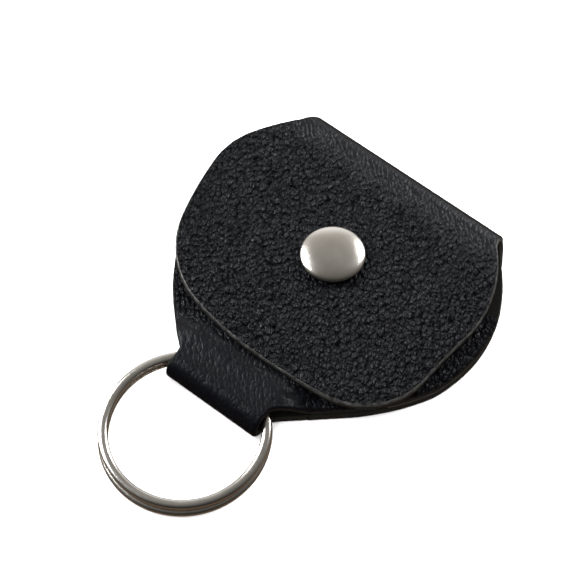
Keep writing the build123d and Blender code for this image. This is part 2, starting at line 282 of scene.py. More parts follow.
def half_width(y):
    """Half width of the panels and the neck: round, then straight down to the neck's soft corner."""
    round_part = np.sqrt(np.maximum(BODY_R**2 - (y - BODY_Y) ** 2, 0))
    beyond = FLARE_X - (FLARE_Y - y) / math.tan(FLARE) - NECK_HALF
    straight = NECK_HALF + (beyond + np.sqrt(beyond**2 + NECK_CORNER)) / 2
    return np.where(y > FLARE_Y, round_part, straight)


def flap_side(corners):
    """One side of the flap: from the middle of its tip to the fold's outermost line, and along it."""
    parts, heading = [], (1.0, 0.0)
    start = (0.0, flap_low.y)
    for x, y in corners:
        arc, heading = tangent_arc(start, heading, (x, y + STUD_Y))
        parts.append(arc)
        start = (x, y + STUD_Y)
    s = np.linspace(START["fold"], FOLD_MID, 30)
    wider = (start[0] - FOLD_HALF) * smooth(-s, -FOLD_MID, -START["fold"])
    parts.append(np.stack([waist(s) + wider, s], 1))
    seam = even([(FOLD_WAIST, FOLD_MID), (0, FOLD_MID)])
    return np.vstack([even(np.vstack(parts)), seam, [(0, FOLD_MID)]])


def fold_outline():
    """Lower half of the fold."""
    s = np.linspace(FOLD_MID, START["back"], 30)
    side = even(np.stack([waist(s), s], 1))
    low, high = START["back"], FOLD_MID
    top, bottom = even([(0, high), (FOLD_WAIST, high)]), even([(FOLD_HALF, low), (0, low)])
    return closed(np.vstack([top, side, bottom, [(0, low)]]))


def back_outline():
    """Back panel, from the fold down to the neck's root."""
    y = np.linspace(FOLD_Y, ROOT_Y, 900)
    side = even(np.stack([half_width(y), back_s(y)], 1))
    high, low = START["back"], START["root"]
    top, bottom = even([(0, high), (FOLD_HALF, high)]), even([(half_width(ROOT_Y), low), (0, low)])
    return closed(np.vstack([top, side, bottom, [(0, low)]]))


def front_outline():
    """Neck from its root, round the loop, and the pocket panel up to its mouth."""
    down = np.linspace(ROOT_Y, LOOP_Y, 200)
    up = np.linspace(LOOP_Y, MOUTH_Y, 900)
    side = [np.stack([half_width(down), back_s(down)], 1), np.stack([half_width(up), front_s(up)], 1)]
    corner = half_width(MOUTH_Y)
    x = np.linspace(corner, 0, 200)
    mouth = np.stack([x, front_s(MOUTH_Y - MOUTH_DIP * (1 - (x / corner) ** 2))], 1)
    start = even([(0, START["root"]), (half_width(ROOT_Y), START["root"])])
    return closed(np.vstack([start, even(np.vstack(side)), even(mouth), mouth[-1:]]))


# ---- pebbled grain, a height in mm over the flat strip ----------------------------------------------

CREASE_TURN = math.radians(39)  # the creases run mostly across this direction
# pebbles of three sizes: their size, width and depth of the valleys between them, and their tilt
BIG_SIZE, BIG_WIDTH, BIG_DEPTH, BIG_TILT = 2.1, 0.2, 0.15, 0.07
MID_SIZE, MID_WIDTH, MID_DEPTH, MID_TILT = 1.15, 0.15, 0.11, 0.09
SMALL_SIZE, SMALL_WIDTH, SMALL_DEPTH, SMALL_TILT = 0.62, 0.12, 0.035, 0.06
BIG_STRETCH, MID_STRETCH = (1.2, 0.8), (1.2, 0.85)  # narrow across the creases' axis, long along it
CROWN = 0.05  # how far the pebbles swell towards their middles
LEVEL = 0.03  # how far they differ in height
FOLD_SMOOTH = 0.92  # share of the grain that is lost along the fold
NECK_SMOOTH = 0.84  # and over the ring
FOLD_WORN = (3.0, 12.0)  # the grain comes back between these distances from the fold's outermost line
NECK_WORN = (4.5, 10.5)  # and between these from the middle of the neck's upper face
# the fold's band of polish is rubbed gloss, brightened further as a painted sheen
FOLD_RUBBED_SHEEN = (3.5, 8.5)  # the same for the fold's polish
NECK_WRINKLE, FOLD_WRINKLE = 0.03, 0.005
RIDGE = (START["upper_leg"] + START["front"]) / 2  # middle of the neck's upper face
LOOP_FRONT = (START["bend"] + START["upper_leg"]) / 2  # middle of the loop's round front


def turned_place(flat):
    """Place on the strip, turned into the direction of the creases."""
    c, s = math.cos(CREASE_TURN), math.sin(CREASE_TURN)
    return np.stack([flat[:, 0] * c + flat[:, 1] * s, -flat[:, 0] * s + flat[:, 1] * c], 1)


def warped(turned):
    """The turned place with a gentle and a finer warp, so that no pebble has straight sides."""
    gentle = np.stack([soft_noise(turned, 1.7, 0), soft_noise(turned, 1.7, 1)], 1)
    finer = np.stack([soft_noise(turned, 0.6, 2), soft_noise(turned, 0.6, 0)], 1)
    return turned + 0.35 * gentle + 0.12 * finer


def pebbles(p, turned):
    """Height of the pebbles, and how far each point is in a big, a middle and a small valley."""
    big_gap, big_tilt, big_level = cells(p * BIG_STRETCH, BIG_SIZE, 0)
    mid_gap, mid_tilt, mid_level = cells(p * MID_STRETCH, MID_SIZE, 1)
    small_gap, small_tilt, _ = cells(p, SMALL_SIZE, 2)
    strength = 0.4 + 0.6 * (0.55 + 0.45 * soft_noise(p, 2.4, 1))
    fineness = np.clip(0.5 + 0.035 * (-turned[:, 0] - 4) + 0.35 * soft_noise(turned, 9.0, 2), 0, 1)
    big = np.exp(-((big_gap / BIG_WIDTH) ** 2)) * strength
    mid = np.exp(-((mid_gap / MID_WIDTH) ** 2)) * (0.3 + 0.7 * fineness) * strength
    small = np.exp(-((small_gap / SMALL_WIDTH) ** 2))
    height = CROWN * np.clip(big_gap / 0.8, 0, 1) + CROWN * fineness * np.clip(mid_gap / 0.45, 0, 1)
    height += BIG_TILT * big_tilt + MID_TILT * mid_tilt + SMALL_TILT * small_tilt
    height += LEVEL * (big_level + mid_level)
    height -= BIG_DEPTH * big + MID_DEPTH * mid + SMALL_DEPTH * small
    return height, big, mid, small


def wrinkles(flat):
    """Long wrinkles across the strip's bends, from -1 to 1."""
    broad = soft_noise(flat / (1.2, 2.4), 1.0, 0)
    fine = soft_noise(flat / (0.5, 1.2), 1.0, 2)
    return broad + 0.22 * fine


def grain(flat):
    """Over the strip: height of the grain, how far out of its valleys, depth of the pebbles, and polish; the
    material paints shade into the valleys from the second, and a sheen along the fold and shade on the loop's
    front from the polish.
    """
    turned = turned_place(flat)
    p = warped(turned)
    s = flat[:, 1]
    ragged = 1.5 * soft_noise(p, 2.5, 0)
    fold = 1 - smooth(np.abs(s - FOLD_MID) + ragged, *FOLD_WORN)
    neck = 1 - smooth(np.abs(s - RIDGE) + ragged, *NECK_WORN)
    smoothed = np.maximum(fold, neck)
    height, big, mid, small = pebbles(p, turned)
    height *= 1 - np.maximum(FOLD_SMOOTH * fold, NECK_SMOOTH * neck)
    upper_face = smooth(s, START["bend"] + 2.5, START["upper_leg"] + 0.5)
    height += (NECK_WRINKLE * neck * upper_face + FOLD_WRINKLE * fold) * wrinkles(flat)
    # how far each point is out of the valleys; the material paints shade into the valleys by it, in colour
    # and specular level
    out_of_shaded_creases = 1 - np.clip(0.8 * big + 0.6 * mid + 0.2 * small, 0, 1) * (1 - 0.6 * smoothed)
    # specular level along the fold rises where it is rubbed glossy, and the band is brightened further as a
    # painted sheen; round the loop's front it falls as painted shade
    rubbed_and_sheen = 1 - smooth(np.abs(s - FOLD_MID) + 0.5 * ragged, *FOLD_RUBBED_SHEEN)
    painted_front_shade = np.exp(-(((s - LOOP_FRONT) / 3.0) ** 2))
    polish_and_painted_light = 1 + 0.45 * rubbed_and_sheen - 0.12 * neck - 0.7 * painted_front_shade
    return height, out_of_shaded_creases, 1 - 0.85 * smoothed, polish_and_painted_light


# ---- building a sheet of leather -----------------------------------------------------------------

# the cut edge from the grain side to the flesh side: inset from the outline, depth below the grain side
RIM = ((0.45, 0.0), (0.26, 0.05), (0.11, 0.16), (0.02, 0.36), (0.0, 0.8), (0.02, 1.2))
RIM_FOOT = ((0.03, 0.15), (0.14, 0.02))  # inset, height above the flesh side
RIM_ROUGH = 0.035  # how far the cut edge wavers
EDGE_GRAIN = 0.35  # share of the grain's height where the cut edge begins
CORNER_GRAIN = 0.3  # and on the rounded corner
FOOT_INSET = 0.32  # where the flesh side's mesh begins
SEAM_REACH = 1e-4  # points this near to a seam's line are on it
CORNER_PASSES = 12  # rounds of easing that take the sharpness off the corners


def inward(outline, seams):
    """Vectors into the outline at its points: none along a seam, sideways near a seam's ends."""
    along = np.roll(outline, -1, 0) - np.roll(outline, 1, 0)
    along /= np.linalg.norm(along, axis=1)[:, None]
    normal = np.stack([-along[:, 1], along[:, 0]], 1)
    on_seam = np.zeros(len(outline), bool)
    for seam in seams:
        level = np.abs(outline[:, 1] - seam) < SEAM_REACH
        share = smooth(np.abs(outline[:, 1] - seam), 0, 1.2)[:, None]
        sideways = np.stack([-np.sign(outline[:, 0]), np.zeros(len(outline))], 1)
        normal = sideways + (normal - sideways) * share
        normal[level & (np.abs(outline[:, 0]) < np.abs(outline[level, 0]).max() - SEAM_REACH)] = 0
        on_seam |= level
    return normal, on_seam


def inside(points, outline):
    """Which points lie inside a closed outline."""
    a, b = outline, np.roll(outline, -1, 0)
    hit = np.zeros(len(points), bool)
    for (ax, ay), (bx, by) in zip(a, b):
        if ay != by:
            crosses = (ay > points[:, 1]) != (by > points[:, 1])
            hit ^= crosses & (points[:, 0] < (bx - ax) * (points[:, 1] - ay) / (by - ay) + ax)
    return hit


def filled(ring, margin_ring, spacing):
    """Points, the ring first, and triangles that fill a ring, on a lattice inside margin_ring."""
    low, high = ring.min(0), ring.max(0)
    x = np.arange(low[0], high[0], spacing)
    y = np.arange(low[1], high[1], spacing * math.sqrt(0.75))
    grid_x, grid_y = np.meshgrid(x, y)
    grid_x = grid_x + np.where(np.arange(len(y)) % 2, spacing / 2, 0)[:, None]
    lattice = np.stack([grid_x.ravel(), grid_y.ravel()], 1)
    points = np.vstack([ring, lattice[inside(lattice, margin_ring)]])
    count = len(ring)
    edges = [(i, (i + 1) % count) for i in range(count)]
    made = delaunay_2d_cdt([Vector(p) for p in points], edges, [list(range(count))], 1, 1e-7)
    origin = [source[0] for source in made[3]]
    triangles = np.array([[origin[i] for i in face] for face in made[2]])
    a, b, c = (points[triangles[:, i]] for i in range(3))
    turn = (b - a)[:, 0] * (c - a)[:, 1] - (b - a)[:, 1] * (c - a)[:, 0]
    triangles[turn < 0] = triangles[turn < 0][:, ::-1]
    return points, triangles


def eased(outline, seams):
    """The outline, counterclockwise, with its corners eased except on the seams."""
    area = np.sum(outline[:, 0] * np.roll(outline[:, 1], -1) - np.roll(outline[:, 0], -1) * outline[:, 1])
    if area < 0:
        outline = outline[::-1]
    free = np.min([np.abs(outline[:, 1] - seam) for seam in seams], axis=0) > SEAM_REACH
    for _ in range(CORNER_PASSES):
        between = (np.roll(outline, 1, 0) + 2 * outline + np.roll(outline, -1, 0)) / 4
        outline = np.where(free[:, None], between, outline)
    return outline


def rim_rings(outline, normal):
    """Rings of points down the cut edge, and the heights of their points above the flesh side."""
    thick = np.interp(outline[:, 1], FLAT_S, THICK)
    profile = [(inset, thick - depth) for inset, depth in RIM]
    profile += [(inset, thick * 0 + up) for inset, up in RIM_FOOT]
    rings = []
    for row, (inset, _) in enumerate(profile):
        rough = RIM_ROUGH * soft_noise(outline + 40 * row, 0.5, row % 3) * (0 < row)
        rings.append(outline + normal * (inset + rough)[:, None])
    return rings, [height for _, height in profile]


def rim_band(first, second, on_seam):
    """Quads between the rings of points that start at two indices, left open along the seams."""
    here = np.arange(len(on_seam))
    following = np.roll(here, -1)
    keep = ~(on_seam & on_seam[following])
    quads = np.stack([here, following, following, here], 1) + np.array([first, first, second, second])
    return quads[keep][:, ::-1]


def rim_grain(flat, bumps, top_count, ring_count, rim):
    """The grain's height on a sheet: less towards the cut edge, and none below its upper corner."""
    border = np.full(top_count, FAR)
    for point in rim[::3]:
        border = np.minimum(border, np.hypot(*(flat[:top_count] - point).T))
    corner = slice(top_count, top_count + ring_count * 2)
    bumps[:top_count] *= EDGE_GRAIN + (1 - EDGE_GRAIN) * smooth(border, 0.3, 1.6)
    bumps[top_count:] = 0
    bumps[corner] = grain(flat[corner])[0] * CORNER_GRAIN
    return bumps


def bent(flat, rise):
    """Points in space from their place on the flat strip and their rise above its flesh side."""
    s = flat[:, 1]
    out_y, out_z = np.interp(s, FLAT_S, OUT[:, 0]), np.interp(s, FLAT_S, OUT[:, 1])
    length = np.hypot(out_y, out_z)
    y = np.interp(s, FLAT_S, FLESH[:, 0]) + out_y / length * rise
    z = np.interp(s, FLAT_S, FLESH[:, 1]) + out_z / length * rise
    return np.stack([flat[:, 0], y, z], 1)


def sheet_piece(name, points, faces, slots, attributes, materials):
    """A smooth piece with a material slot for each face and named attributes for its points."""
    mesh = bpy.data.meshes.new(name)
    mesh.from_pydata((points * MM).tolist(), [], faces)
    mesh.polygons.foreach_set("material_index", slots)
    mesh.polygons.foreach_set("use_smooth", [True] * len(faces))
    for key, values in attributes.items():
        if values.ndim == 2:
            mesh.attributes.new(key, "FLOAT_VECTOR", "POINT").data.foreach_set("vector", values.ravel())
        else:
            mesh.attributes.new(key, "FLOAT", "POINT").data.foreach_set("value", values)
    for material in materials:
        mesh.materials.append(material)
    mesh.update()
    return new_piece(name, mesh)


# material slots of a sheet
GRAIN_SLOT, EDGE_SLOT, FLESH_SLOT, LIP_SLOT = range(4)
RIM_SLOTS = (GRAIN_SLOT, LIP_SLOT, LIP_SLOT, LIP_SLOT)  # the rest of the rim is cut edge


def leather_sheet(name, outline, shape, seams, materials):
    """A sheet of leather over an (x, s) outline: grain side, cut edge, flesh side; shape bends it."""
    outline = eased(outline, seams)
    normal, on_seam = inward(outline, seams)
    count = len(outline)
    rings, heights = rim_rings(outline, normal)
    top, top_faces = filled(rings[0], outline + normal * (RIM[0][0] + 0.6 * FINE), FINE)
    base, base_faces = filled(outline + normal * FOOT_INSET, outline + normal * (0.5 * COARSE), COARSE)
    flat = np.vstack([top, *rings[1:], base])
    starts = [0] + [len(top) + count * row for row in range(len(rings))]
    lift = np.zeros(len(flat))
    lift[:len(top)] = np.interp(top[:, 1], FLAT_S, THICK)
    lift[len(top):starts[-1]] = np.concatenate(heights[1:])
    # ground and polish carry painted light into the material: painted shade in the creases, a painted sheen
    # along the fold and painted shade on the loop's front
    bumps, ground, relief, polish_and_painted_light = grain(flat)
    rise = lift + rim_grain(flat, bumps, len(top), count, outline[~on_seam])
    faces = top_faces.tolist()
    slots = [GRAIN_SLOT] * len(top_faces)
    for row, (first, second) in enumerate(zip(starts, starts[1:])):
        quads = rim_band(first, second, on_seam)
        faces += quads.tolist()
        slots += [RIM_SLOTS[row] if row < len(RIM_SLOTS) else EDGE_SLOT] * len(quads)
    faces += (base_faces[:, ::-1] + starts[-1]).tolist()
    slots += [FLESH_SLOT] * len(base_faces)
    attributes = {"flat": np.column_stack([flat, lift]), "ground": ground, "relief": relief, "polish_and_painted_light": polish_and_painted_light}
    return sheet_piece(name, shape(flat, bent(flat, rise)), faces, slots, attributes, materials)


# ---- how each sheet bends and sags --------------------------------------------------------------

FLAP_R = 30.0  # the flap's radius, roughly
FLAP_SAG = 0.55  # how far the flap's rim hangs below its middle
FLAP_TWIST = 0.5  # how much further it hangs at +X than in the middle
CAP_PRESS = 0.22  # how far the cap pulls the leather down around it


def flap_shape(flat, points):
    """The flap sags towards its rim, less over the neck, dips round the cap, and is askew."""
    x, y = points[:, 0], points[:, 1] - STUD_Y
    from_cap = np.hypot(x, y)
    free = 1 - smooth(flat[:, 1], STUD_Y + 2, FOLD_Y)
    over_neck = np.exp(-((x / 13) ** 2)) * smooth(-y, 14, 25)
    droop = FLAP_SAG + FLAP_TWIST * x / FLAP_R
    sag = droop * (from_cap / FLAP_R) ** 2.5 * free * (1 - 0.7 * over_neck)
    dip = CAP_PRESS * np.exp(-(((from_cap - 6) / 2.6) ** 2))
    wave = 0.12 * soft_noise(np.stack([x, y], 1), 14.0, 1) * smooth(from_cap, 8, 20) * free
    points[:, 2] += wave - sag - dip
    points[:, 1] -= SKEW * x
    return points


def shifted(x, s):
    """x after the panels' sideways shift, by their place s along the back."""
    right = np.interp(s - FOLD_MID, SHIFT_PLACE, SHIFT_RIGHT)
    left = np.interp(s - FOLD_MID, SHIFT_PLACE, SHIFT_LEFT)
    side = smooth(x, -20, 20)
    return x + right * side + left * (1 - side)


def askew_shape(flat, points):
    """The fold is askew like the flap; the back panel takes that up over its first centimetres."""
    near_fold = smooth(-flat[:, 1], -START["back"] - 25, -START["back"])
    points[:, 1] -= SKEW * points[:, 0] * near_fold
    points[:, 0] = shifted(points[:, 0], flat[:, 1])
    return points


def front_shape(flat, points):
    """The front layer rises over the ring only in the middle; its glued sides stay down."""
    x, y = points[:, 0], points[:, 1]
    front = flat[:, 1] > START["upper_leg"]
    level = np.interp(flat[:, 1], FLAT_S, FLESH[:, 1])
    glued = smooth(np.abs(x), 9.5, 17.0) * front
    points[:, 2] -= (level - POCKET_Z) * glued * smooth(y, LOOP_Y, ROOT_Y)
    points[:, 0] = shifted(points[:, 0], back_s(y))
    return points


# ---- materials ----------------------------------------------------------------------------------


class Nodes:
    """A material's node tree, with short calls to add and join nodes."""

    def __init__(self, name, base, roughness, metallic=0.0):
        self.material = bpy.data.materials.new(name)
        self.material.use_nodes = True
        self.tree = self.material.node_tree
        self.shader = self.tree.nodes["Principled BSDF"]
        self.shader.inputs["Base Color"].default_value = (*base, 1)
        self.shader.inputs["Roughness"].default_value = roughness
        self.shader.inputs["Metallic"].default_value = metallic

    def add(self, kind, **values):
        """A new node; values set its properties or the inputs of that name."""
        node = self.tree.nodes.new(kind)
        for key, value in values.items():
            label = key.replace("_", " ").title()
            if hasattr(node, key):
                setattr(node, key, value)
            else:
                node.inputs[label].default_value = value
        return node

    def join(self, output, target):
        """Links an output socket to an input socket."""
        self.tree.links.new(output, target)

    def flat_place(self):
        """Where a point lies on the flat strip, in millimetres."""
        return self.add("ShaderNodeAttribute", attribute_name="flat").outputs["Vector"]

    def object_place(self):
        """Where a point lies on the object, in metres."""
        return self.add("ShaderNodeTexCoord").outputs["Object"]

    def noise(self, place, scale, detail=3.0, roughness=0.55):
        """Noise over a place, about 0 to 1."""
        node = self.add("ShaderNodeTexNoise", scale=scale, detail=detail, roughness=roughness)
        self.join(place, node.inputs["Vector"])
        return node.outputs["Fac"]

    def cracks(self, place, scale, feature="DISTANCE_TO_EDGE"):
        """Distance to the edges, or to the middles, of small cells."""
        node = self.add("ShaderNodeTexVoronoi", feature=feature, scale=scale)
        self.join(place, node.inputs["Vector"])
        return node.outputs["Distance"]

    def along_creases(self, place, stretch):
        """The place turned so that its second axis runs along the creases and is drawn out."""
        node = self.add("ShaderNodeMapping", vector_type="TEXTURE")
        node.inputs["Rotation"].default_value = (0, 0, CREASE_TURN)
        node.inputs["Scale"].default_value = (1 / stretch, stretch, 1)
        self.join(place, node.inputs["Vector"])
        return node.outputs["Vector"]

    def stirred(self, place, scale, reach):
        """The place shifted about by noise of that scale."""
        noise = self.add("ShaderNodeTexNoise", scale=scale)
        self.join(place, noise.inputs["Vector"])
        node = self.add("ShaderNodeVectorMath", operation="MULTIPLY_ADD")
        self.join(noise.outputs["Color"], node.inputs[0])
        node.inputs[1].default_value = (2 * reach, 2 * reach, 0)
        self.join(place, node.inputs[2])
        return node.outputs["Vector"]

    def spread(self, value, low, high, to_low, to_high):
        """value mapped from low..high to to_low..to_high."""
        node = self.add("ShaderNodeMapRange")
        for socket, number in zip(list(node.inputs)[1:5], (low, high, to_low, to_high)):
            socket.default_value = number
        self.join(value, node.inputs["Value"])
        return node.outputs["Result"]

    def blend(self, share, low, high):
        """Colour from low to high by share."""
        node = self.add("ShaderNodeMix", data_type="RGBA")
        node.inputs[6].default_value = (*low, 1)
        node.inputs[7].default_value = (*high, 1)
        self.join(share, node.inputs["Factor"])
        return node.outputs[2]

    def plus(self, first, second, operation="ADD"):
        """Sum, or another operation, of two values."""
        node = self.add("ShaderNodeMath", operation=operation)
        for socket, value in zip(node.inputs, (first, second)):
            if isinstance(value, (int, float)):
                socket.default_value = value
            else:
                self.join(value, socket)
        return node.outputs[0]

    def bump(self, height, distance, strength=1.0):
        """Raises the surface by height times distance."""
        node = self.add("ShaderNodeBump", distance=distance, strength=strength)
        self.join(height, node.inputs["Height"])
        return node.outputs["Normal"]

    def finish(self, **sockets):
        """Links outputs to the shader's sockets and returns the material."""
        for key, output in sockets.items():
            self.join(output, self.shader.inputs[key.replace("_", " ").title()])
        return self.material


PEBBLES_PER_MM, CRUMBS_PER_MM = 0.95, 1.9
# how far each finish's fine pattern stands out, in metres
GRAIN_BUMP, FIBRE_BUMP, WEAR_BUMP, NAP_BUMP = 0.18 * MM, 0.12 * MM, 0.08 * MM, 0.15 * MM
SCRATCH_BUMP, LUMP_BUMP = 0.001 * MM, 0.1 * MM


def grain_leather():
    """Black pebbled leather: glossier on the pebbles and dull in the creases, whose darker colour and lower
    specular level are painted shade.
    """
    made = Nodes("grain_leather", (0.003, 0.003, 0.0035), 0.34)
    place = made.flat_place()
    # ground: how far out of the pebbles' valleys, which the material turns into painted shade in the creases
    ground = made.add("ShaderNodeAttribute", attribute_name="ground").outputs["Fac"]
    relief = made.add("ShaderNodeAttribute", attribute_name="relief").outputs["Fac"]
    patches = made.noise(place, 0.16, 2.0)
    fine = made.noise(place, 3.2, 4.0, 0.6)
    polish_and_painted_light = made.add("ShaderNodeAttribute", attribute_name="polish_and_painted_light").outputs["Fac"]
    pebbled = made.stirred(made.along_creases(place, 1.3), 1.1, 0.22)
    walls = made.cracks(pebbled, PEBBLES_PER_MM)
    middles = made.cracks(pebbled, PEBBLES_PER_MM, "F1")
    crumbs = made.cracks(pebbled, CRUMBS_PER_MM)
    height = made.plus(made.spread(walls, 0, 0.2, 0, 0.7), made.spread(crumbs, 0, 0.3, 0, 0.4))
    height = made.plus(height, made.plus(made.plus(middles, middles, "MULTIPLY"), -2.6, "MULTIPLY"))
    height = made.plus(height, made.plus(fine, 0.4, "MULTIPLY"))
    height = made.plus(height, relief, "MULTIPLY")
    # out of the creases: roughness follows it, and so do the painted shade in the creases' colour and
    # specular level
    out_of_shaded_creases = made.plus(made.spread(walls, 0, 0.1, 0.2, 1), ground, "MULTIPLY")
    out_of_shaded_creases = made.plus(out_of_shaded_creases, made.spread(crumbs, 0, 0.15, 0.5, 1), "MULTIPLY")
    out_of_shaded_creases = made.plus(made.plus(out_of_shaded_creases, relief, "MULTIPLY"), made.spread(relief, 0, 1, 0.8, 0))
    # tone: painted shade in the creases, and random patches
    tone = made.plus(made.plus(out_of_shaded_creases, 0.75, "MULTIPLY"), made.plus(patches, 0.35, "MULTIPLY"))
    colour = made.blend(tone, (0.0004, 0.0004, 0.0005), (0.0014, 0.0015, 0.0022))
    rough = made.plus(made.spread(out_of_shaded_creases, 0, 1, 0.5, 0.25), made.spread(fine, 0.3, 0.7, -0.04, 0.06))
    rough = made.plus(rough, made.spread(relief, 0, 1, 0.1, 0))
    # specular level: low in the creases as painted shade; polish adds a painted sheen along the fold and
    # painted shade on the loop's front
    shine = made.plus(made.spread(out_of_shaded_creases, 0, 1, 0.02, 0.285), polish_and_painted_light, "MULTIPLY")
    made.shader.inputs["Specular Tint"].default_value = (0.92, 0.96, 1.0, 1)
    made.shader.inputs["Specular IOR Level"].default_value = 0.25
    made.join(shine, made.shader.inputs["Specular IOR Level"])
    return made.finish(base_color=colour, roughness=rough, normal=made.bump(height, GRAIN_BUMP))


def cut_edge():
    """The strip's cut edge: dyed black, dull and fibrous."""
    made = Nodes("cut_edge", (0.005, 0.005, 0.0045), 0.75)
    made.shader.inputs["Specular IOR Level"].default_value = 0.3
    place = made.flat_place()
    fibres = made.noise(place, 4.5, 5.0, 0.7)
    colour = made.blend(fibres, (0.0015, 0.0016, 0.0011), (0.0075, 0.0078, 0.0056))
    rough = made.spread(fibres, 0.3, 0.7, 0.85, 0.6)
    return made.finish(base_color=colour, roughness=rough, normal=made.bump(fibres, FIBRE_BUMP))


def lip_with_painted_highlight():
    """Upper corner of the cut edge: rubbed smooth and glossy, and painted paler as a highlight where light
    catches the rounded corner.
    """
    made = Nodes("lip_with_painted_highlight", (0.03, 0.03, 0.029), 0.36)
    made.shader.inputs["Specular IOR Level"].default_value = 0.6
    wear_and_highlight = made.noise(made.flat_place(), 0.9, 4.0, 0.65)
    # the pale end of this colour is a painted highlight where light catches the lip
    colour = made.blend(made.spread(wear_and_highlight, 0.35, 0.65, 0, 1), (0.004, 0.004, 0.004), (0.04, 0.04, 0.038))
    return made.finish(base_color=colour, normal=made.bump(wear_and_highlight, WEAR_BUMP))


def flesh_side():
    """Napped inside of the leather, dark grey."""
    made = Nodes("flesh_side", (0.004, 0.004, 0.0035), 0.95)
    made.shader.inputs["Specular IOR Level"].default_value = 0.1
    made.shader.inputs["Sheen Weight"].default_value = 0.015
    made.shader.inputs["Sheen Roughness"].default_value = 0.6
    place = made.flat_place()
    nap = made.noise(place, 3.0, 6.0, 0.75)
    cloud = made.noise(place, 0.12, 3.0)
    depth = made.plus(nap, cloud, "MULTIPLY")
    colour = made.blend(depth, (0.0010, 0.0010, 0.0008), (0.0065, 0.0065, 0.0052))
    return made.finish(base_color=colour, normal=made.bump(nap, NAP_BUMP))


def nickel(name, tint, roughness, scratches):
    """Nickel plate with a slight cloudiness and fine scratches."""
    made = Nodes(name, tint, roughness, 1.0)
    place = made.object_place()
    cloud = made.noise(place, 260.0, 3.0)
    fine = made.noise(place, 3800.0, 2.0)
    colour = made.blend(cloud, tuple(0.86 * c for c in tint), tint)
    rough = made.plus(made.spread(cloud, 0.3, 0.7, roughness * 0.93, roughness * 1.12),
                      made.spread(fine, 0.4, 0.7, 0, scratches))
    return made.finish(base_color=colour, roughness=rough, normal=made.bump(fine, SCRATCH_BUMP, 0.5))


def glue_material():
    """Dried contact cement."""
    made = Nodes("dry_glue", (0.02, 0.018, 0.015), 0.6)
    place = made.object_place()
    lumps = made.noise(place, 900.0, 3.0)
    colour = made.blend(lumps, (0.012, 0.011, 0.01), (0.035, 0.03, 0.024))
    return made.finish(base_color=colour, normal=made.bump(lumps, LUMP_BUMP))


def pale_floor():
    """Matt white table."""
    made = Nodes("pale_floor", (0.95, 0.95, 0.95), 0.8)
    fine = made.noise(made.object_place(), 400.0, 2.0)
    return made.finish(base_color=made.blend(fine, (0.945, 0.945, 0.945), (0.955, 0.955, 0.955)))


GRAIN_LEATHER, CUT_EDGE, FLESH_SIDE = grain_leather(), cut_edge(), flesh_side()
# the flap's lip takes the pale lip with its painted highlight; the panels' lips stay grain leather
FLAP_MATERIALS = [GRAIN_LEATHER, CUT_EDGE, FLESH_SIDE, lip_with_painted_highlight()]
PANEL_MATERIALS = [GRAIN_LEATHER, CUT_EDGE, FLESH_SIDE, GRAIN_LEATHER]
CAP_NICKEL = nickel("cap_nickel", (0.92, 0.88, 0.82), 0.22, 0.01)
RING_NICKEL = nickel("ring_nickel", (0.90, 0.87, 0.83), 0.2, 0.06)
PLAIN_NICKEL = nickel("stud_nickel", (0.80, 0.76, 0.70), 0.24, 0.06)

# ---- the leather ----------------------------------------------------------------------------------

flap_outline = closed(flap_side(FLAP_RIGHT), flap_side(FLAP_LEFT))
flap_leather = leather_sheet("flap_leather", flap_outline, flap_shape, [FOLD_MID], FLAP_MATERIALS)
fold_leather = leather_sheet(
    "fold_leather", fold_outline(), askew_shape, [FOLD_MID, START["back"]], PANEL_MATERIALS
)
back_leather = leather_sheet(
    "back_leather", back_outline(), askew_shape, [START["back"], START["root"]], PANEL_MATERIALS
)
front_leather = leather_sheet("front_leather", front_outline(), front_shape, [START["root"]], PANEL_MATERIALS)

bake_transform(fold_leather)
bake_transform(flap_leather)
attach(back_leather, "case")
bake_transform(front_leather)
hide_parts("flap", "fold_bend_flap", "fold_spine")
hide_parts("fold_bend_back")
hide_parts("back_panel")
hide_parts("pocket_panel", "loop_root_back", "loop_root_front", "ring_loop")

# ---- metal pieces ---------------------------------------------------------------------------------

LATHE_STEPS = 160
DOME = 1.3  # height of the cap's dome
DOME_POWER = 2.4  # above 2 the dome is flatter in the middle


def put_material(node, material):
    """Gives a CAD node a finished material."""
    piece = frame["nodes"][node]
    piece.data.materials.clear()
    piece.data.materials.append(material)


def grid_mesh(name, rows, closed_rows, material):
    """A smooth mesh from rows of points, each a closed loop; closed_rows joins the last to the first."""
    rows = np.array(rows)
    count, width = rows.shape[:2]
    faces = []
    for i in range(count if closed_rows else count - 1):
        for j in range(width):
            after, k = (i + 1) % count, (j + 1) % width
            faces.append((i * width + j, i * width + k, after * width + k, after * width + j))
    if not closed_rows:
        faces += [list(range(width))[::-1], [(count - 1) * width + j for j in range(width)]]
    mesh = bpy.data.meshes.new(name)
    mesh.from_pydata((rows.reshape(-1, 3) * MM).tolist(), [], faces)
    shell = bmesh.new()
    shell.from_mesh(mesh)
    bmesh.ops.remove_doubles(shell, verts=shell.verts, dist=1e-7)
    bmesh.ops.recalc_face_normals(shell, faces=shell.faces)
    for face in shell.faces:
        face.smooth = len(face.verts) < 5
    shell.to_mesh(mesh)
    shell.free()
    mesh.materials.append(material)
    return new_piece(name, mesh)


def lathe(name, profile, material):
    """A mesh turned about the stud's axis from a closed (radius, z) profile."""
    turn = np.linspace(0, 2 * math.pi, LATHE_STEPS, endpoint=False)
    rows = [[(r * math.cos(a), STUD_Y + r * math.sin(a), z) for r, z in profile] for a in turn]
    return grid_mesh(name, rows, True, material)


